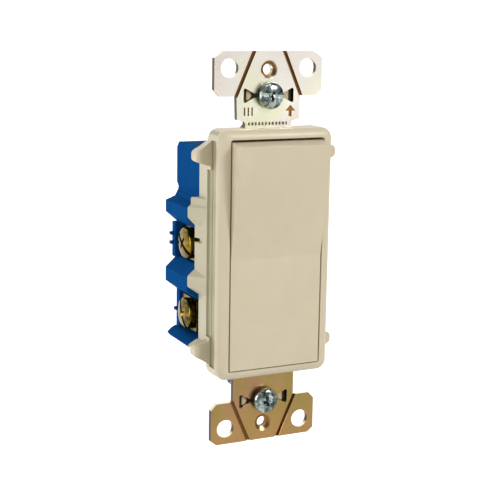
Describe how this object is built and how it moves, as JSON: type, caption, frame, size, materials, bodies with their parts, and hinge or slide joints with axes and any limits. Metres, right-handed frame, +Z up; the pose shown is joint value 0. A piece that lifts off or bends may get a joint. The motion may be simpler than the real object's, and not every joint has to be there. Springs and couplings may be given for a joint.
{
  "type": "rocker wall switch",
  "caption": "Decorator rocker wall switch with a wide paddle in a rectangular frame, a plated mounting strap with break-off ears and a moulded back body with side terminals.",
  "frame": {"origin": "middle of the two wall plate screw holes, on the front face of the strap's ends", "axes": "+Z up along the strap, +X to the viewer's right, -Y out of the wall towards the viewer, +Y back into the wall box"},
  "size_m": [0.0414, 0.0342, 0.1064],
  "materials": {
    "ivory_plastic": "satin",
    "blue_plastic": "satin",
    "yellow_zinc": "yellow zinc plated",
    "zinc": "bright zinc plated",
    "fibre": "matte",
    "brass": "bright",
    "spring_brass": "satin",
    "silver_alloy": "satin",
    "white_acetal": "satin",
    "spring_steel": "bright",
    "rubber": "matte",
    "green_zinc": "green plated"
  },
  "bodies": {
    "housing": {"front_cover": "ivory_plastic", "mounting_strap": "yellow_zinc", "back_body": "blue_plastic", "upper_terminal_bracket": "brass", "lower_terminal_bracket": "brass", "fixed_contact": "silver_alloy", "cradle_bumpers": "rubber", "rocker_spring": "spring_steel", "ground_clip": "yellow_zinc", "assembly_screws": "zinc"},
    "rocker": {"rocker": "ivory_plastic"},
    "cradle": {"cradle": "white_acetal"},
    "contact_arm": {"contact_arm": "spring_brass", "moving_contact": "silver_alloy"},
    "upper_clamp": {"upper_clamp_plate": "brass"},
    "upper_terminal_screw": {"upper_terminal_screw": "brass"},
    "lower_clamp": {"lower_clamp_plate": "brass"},
    "lower_terminal_screw": {"lower_terminal_screw": "brass"},
    "ground_screw": {"ground_screw": "green_zinc"},
    "upper_retainer": {"upper_screw_retainer": "fibre"},
    "upper_mounting_screw": {"upper_mounting_screw": "zinc"},
    "lower_retainer": {"lower_screw_retainer": "fibre"},
    "lower_mounting_screw": {"lower_mounting_screw": "zinc"}
  },
  "joints": [
    {"name": "rocker_pivot", "type": "hinge", "parent": "housing", "child": "rocker", "pos_m": [0, -0.001, 0], "axis": [-1, 0, 0], "range_deg": [0, 8.8], "deforming": ["rocker_spring"]},
    {"name": "cradle_pivot", "type": "hinge", "parent": "housing", "child": "cradle", "pos_m": [0, 0.0145, 0], "axis": [-1, 0, 0], "range_deg": [0, 22]},
    {"name": "contact_arm_flex", "type": "hinge", "parent": "housing", "child": "contact_arm", "pos_m": [0, 0.0169, -0.00625], "axis": [-1, 0, 0], "range_deg": [0, 8.8]},
    {"name": "upper_clamp_slide", "type": "slide", "parent": "housing", "child": "upper_clamp", "axis": [1, 0, 0], "range_m": [0, 0.00178]},
    {"name": "upper_terminal_turn", "type": "hinge", "parent": "upper_clamp", "child": "upper_terminal_screw", "pos_m": [-0.0158, 0.015, 0.0006], "axis": [1, 0, 0], "range_deg": [0, 810]},
    {"name": "lower_clamp_slide", "type": "slide", "parent": "housing", "child": "lower_clamp", "axis": [1, 0, 0], "range_m": [0, 0.00178]},
    {"name": "lower_terminal_turn", "type": "hinge", "parent": "lower_clamp", "child": "lower_terminal_screw", "pos_m": [-0.0158, 0.015, -0.0192], "axis": [1, 0, 0], "range_deg": [0, 810]},
    {"name": "ground_screw_turn", "type": "hinge", "parent": "housing", "child": "ground_screw", "pos_m": [0.0053, 0.0066, -0.0355], "axis": [-1, 0, 0], "continuous": true},
    {"name": "upper_retainer_slide", "type": "slide", "parent": "housing", "child": "upper_retainer", "axis": [1, 0, 0], "range_m": [-0.0015, 0.0015]},
    {"name": "upper_mounting_screw_turn", "type": "hinge", "parent": "upper_retainer", "child": "upper_mounting_screw", "pos_m": [0, 0, 0.04167], "axis": [0, 1, 0], "continuous": true},
    {"name": "lower_retainer_slide", "type": "slide", "parent": "housing", "child": "lower_retainer", "axis": [1, 0, 0], "range_m": [-0.0015, 0.0015]},
    {"name": "lower_mounting_screw_turn", "type": "hinge", "parent": "lower_retainer", "child": "lower_mounting_screw", "pos_m": [0, 0, -0.04167], "axis": [0, 1, 0], "continuous": true}
  ],
  "couplings": [
    {"joint": "cradle_pivot", "follows": "rocker_pivot", "ratio": 2.5},
    {"joint": "contact_arm_flex", "follows": "rocker_pivot", "ratio": 1},
    {"joint": "upper_terminal_turn", "follows": "upper_clamp_slide", "rad_per_m": 7915.8},
    {"joint": "lower_terminal_turn", "follows": "lower_clamp_slide", "rad_per_m": 7915.8}
  ]
}
